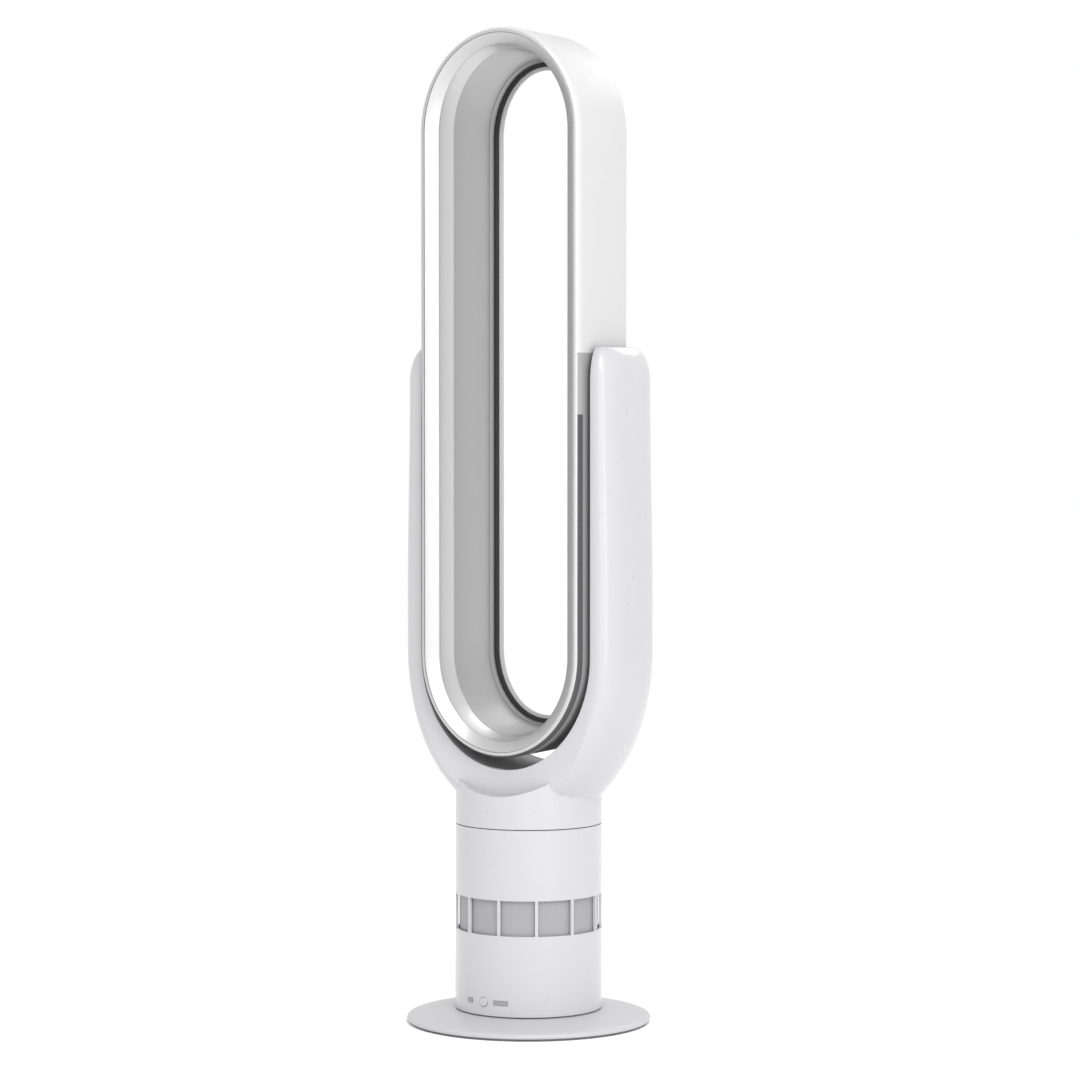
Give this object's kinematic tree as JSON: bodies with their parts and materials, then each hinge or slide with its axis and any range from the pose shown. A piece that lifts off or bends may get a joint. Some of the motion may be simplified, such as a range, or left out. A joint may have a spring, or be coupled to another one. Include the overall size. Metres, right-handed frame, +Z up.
{
  "type": "tower fan",
  "caption": "Bladeless tower fan: a round base, a swivelling column with an air intake band, and a U-shaped cradle that holds a tall air loop.",
  "frame": {"origin": "on the swivel axis, at the underside of the foot ring", "axes": "+Z is up, -Y is the front, where the air loop's bevel and the controls face, and +X is to the right for someone who looks at the front"},
  "size_m": [0.2438, 0.2438, 0.9865],
  "materials": {
    "white_gloss": "glossy white moulded plastic",
    "white_satin": "satin white moulded plastic",
    "silver": "satin silver paint on moulded plastic",
    "black_rubber": "matt black",
    "grey_mesh": "grey painted screen",
    "grey_plastic": "matt grey",
    "dark_lens": "dark translucent, glossy",
    "black_plastic": "matt black",
    "circuit_green": "green circuit board",
    "copper": "enamelled copper windings",
    "steel": "bright steel"
  },
  "bodies": {
    "base": {"base_plate": "white_satin", "base_weight": "steel", "base_cover": "grey_plastic", "foot_ring": "black_rubber", "swivel_bearing_ring": "white_satin", "swivel_gear": "white_satin", "base_screw_1": "steel", "base_screw_2": "steel", "base_screw_3": "steel"},
    "column": {"board_screw_1": "steel", "board_screw_2": "steel", "board_screw_3": "steel", "board_screw_4": "steel", "bucket_lid": "grey_plastic", "chamber_floor": "grey_plastic", "column_screw_1": "steel", "column_screw_2": "steel", "column_screw_3": "steel", "column_shell": "white_gloss", "control_board": "circuit_green", "cradle_liner": "grey_plastic", "cradle_shell": "white_gloss", "diffuser": "grey_plastic", "fan_shroud": "grey_plastic", "front_frame": "silver", "inner_wall": "silver", "intake_mesh": "grey_mesh", "ir_window": "dark_lens", "isolator_ring": "black_rubber", "liner_screw_1": "steel", "liner_screw_2": "steel", "liner_screw_3": "steel", "liner_screw_4": "steel", "loop_casing": "white_satin", "lower_bearing": "steel", "main_board": "circuit_green", "motor_can": "steel", "motor_endcap": "steel", "motor_sleeve": "black_rubber", "motor_stator": "copper", "outlet_seal_left": "black_rubber", "outlet_seal_right": "black_rubber", "power_inlet": "black_plastic", "slot_gasket": "black_rubber", "status_window": "dark_lens", "swivel_clip": "steel", "swivel_motor": "steel", "turntable": "grey_plastic", "upper_bearing": "steel"},
    "pinion": {"swivel_pinion": "white_satin"},
    "impeller": {"impeller": "grey_plastic", "impeller_nut": "steel", "motor_shaft": "steel", "motor_rotor": "steel"},
    "button": {"power_button": "white_gloss"}
  },
  "joints": [
    {"name": "swivel", "type": "hinge", "parent": "base", "child": "column", "pos_m": [0, 0, 0.0145], "axis": [0, 0, 1], "range_deg": [-40, 40]},
    {"name": "pinion_spin", "type": "hinge", "parent": "column", "child": "pinion", "pos_m": [-0.045, 0, 0.0165], "axis": [0, 0, 1], "range_deg": [-112, 112]},
    {"name": "impeller_spin", "type": "hinge", "parent": "column", "child": "impeller", "pos_m": [0, 0, 0.156], "axis": [0, 0, 1], "continuous": true},
    {"name": "button_press", "type": "slide", "parent": "column", "child": "button", "axis": [0.1908, 0.9816, 0], "range_m": [0, 0.0012], "stiffness_N_per_m": 400, "springref_m": -0.0006}
  ],
  "couplings": [
    {"joint": "pinion_spin", "follows": "swivel", "ratio": 2.75}
  ]
}
